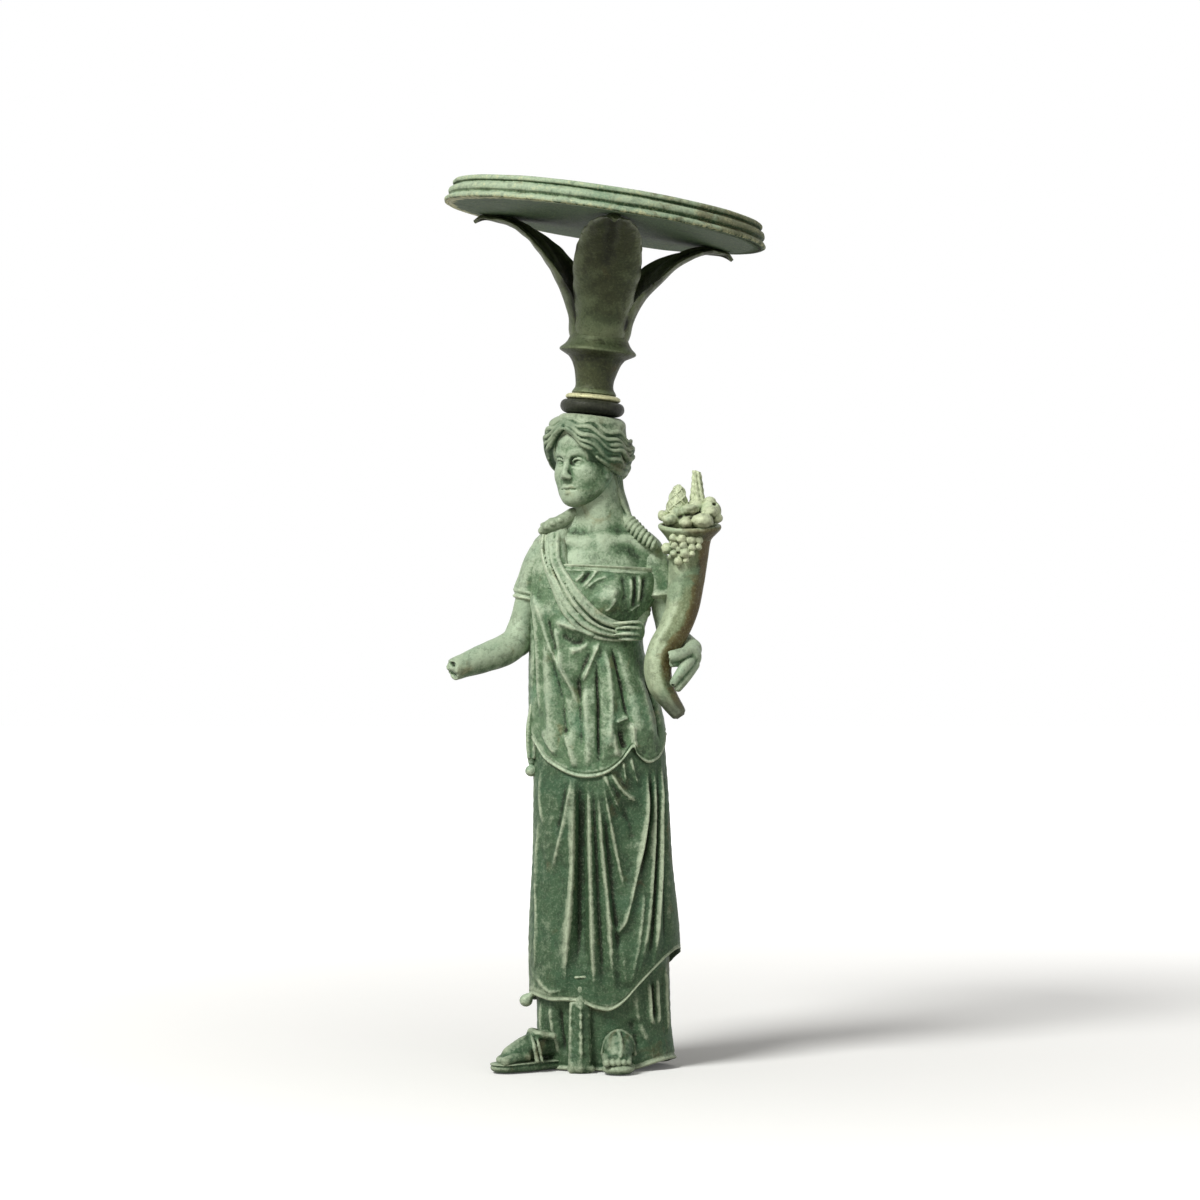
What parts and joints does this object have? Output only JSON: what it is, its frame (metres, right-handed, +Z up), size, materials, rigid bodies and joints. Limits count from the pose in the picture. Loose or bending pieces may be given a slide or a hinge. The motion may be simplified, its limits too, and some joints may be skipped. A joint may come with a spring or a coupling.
{
  "type": "lamp stand",
  "caption": "Bronze lamp stand: a draped standing woman holding a horn of fruit, with a round moulded tray on leaf brackets and a stem above her head",
  "frame": {"origin": "on the floor, under the middle of the figure's robe", "axes": "+Z up, +X towards the figure's left side (the viewer's right), so the figure's front faces -Y"},
  "size_m": [0.0997, 0.1008, 0.2749],
  "materials": {
    "tray_patina": "matt green patina over bronze, brassy where the mouldings are worn",
    "olive_patina": "dark olive-brown patina over bronze",
    "worn_brass": "worn golden edge with green in the hollows",
    "dark_bronze": "near-black patina",
    "green_patina": "green patina, pale on the ridges and dark in the hollows",
    "skin_patina": "smooth pale green patina",
    "horn_patina": "green patina worn to golden brown",
    "foot_patina": "dark green patina"
  },
  "bodies": {
    "figure": {"cap": "green_patina", "head": "skin_patina", "hair": "green_patina", "hair_knot": "green_patina", "left_lock": "green_patina", "right_lock": "green_patina", "chest": "skin_patina", "bodice": "green_patina", "shoulder_roll": "green_patina", "roll_knot": "green_patina", "overfold": "green_patina", "skirt": "green_patina", "underskirt": "green_patina", "centre_pleat": "green_patina", "cloak_end": "green_patina", "hem_weight": "green_patina", "right_sleeve": "green_patina", "right_arm": "skin_patina", "left_sleeve": "green_patina", "left_arm": "skin_patina", "left_hand": "skin_patina", "horn": "horn_patina", "horn_rim": "horn_patina", "pine_cone": "horn_patina", "ribbed_spike": "horn_patina", "pomegranate": "horn_patina", "heaped_fruit": "horn_patina", "grapes": "horn_patina", "right_foot": "foot_patina", "right_sole": "foot_patina", "left_foot": "foot_patina", "left_sole": "foot_patina"},
    "lamp_top": {"lamp_tray": "tray_patina", "leaf_front": "olive_patina", "leaf_left": "olive_patina", "leaf_right": "olive_patina", "stem": "olive_patina", "upper_ring": "worn_brass", "lower_ring": "dark_bronze", "tenon": "dark_bronze"}
  },
  "joints": [
    {"name": "lamp_top_lift", "type": "slide", "parent": "figure", "child": "lamp_top", "axis": [0.0958, 0, 0.9954], "range_m": [0, 0.012]}
  ]
}
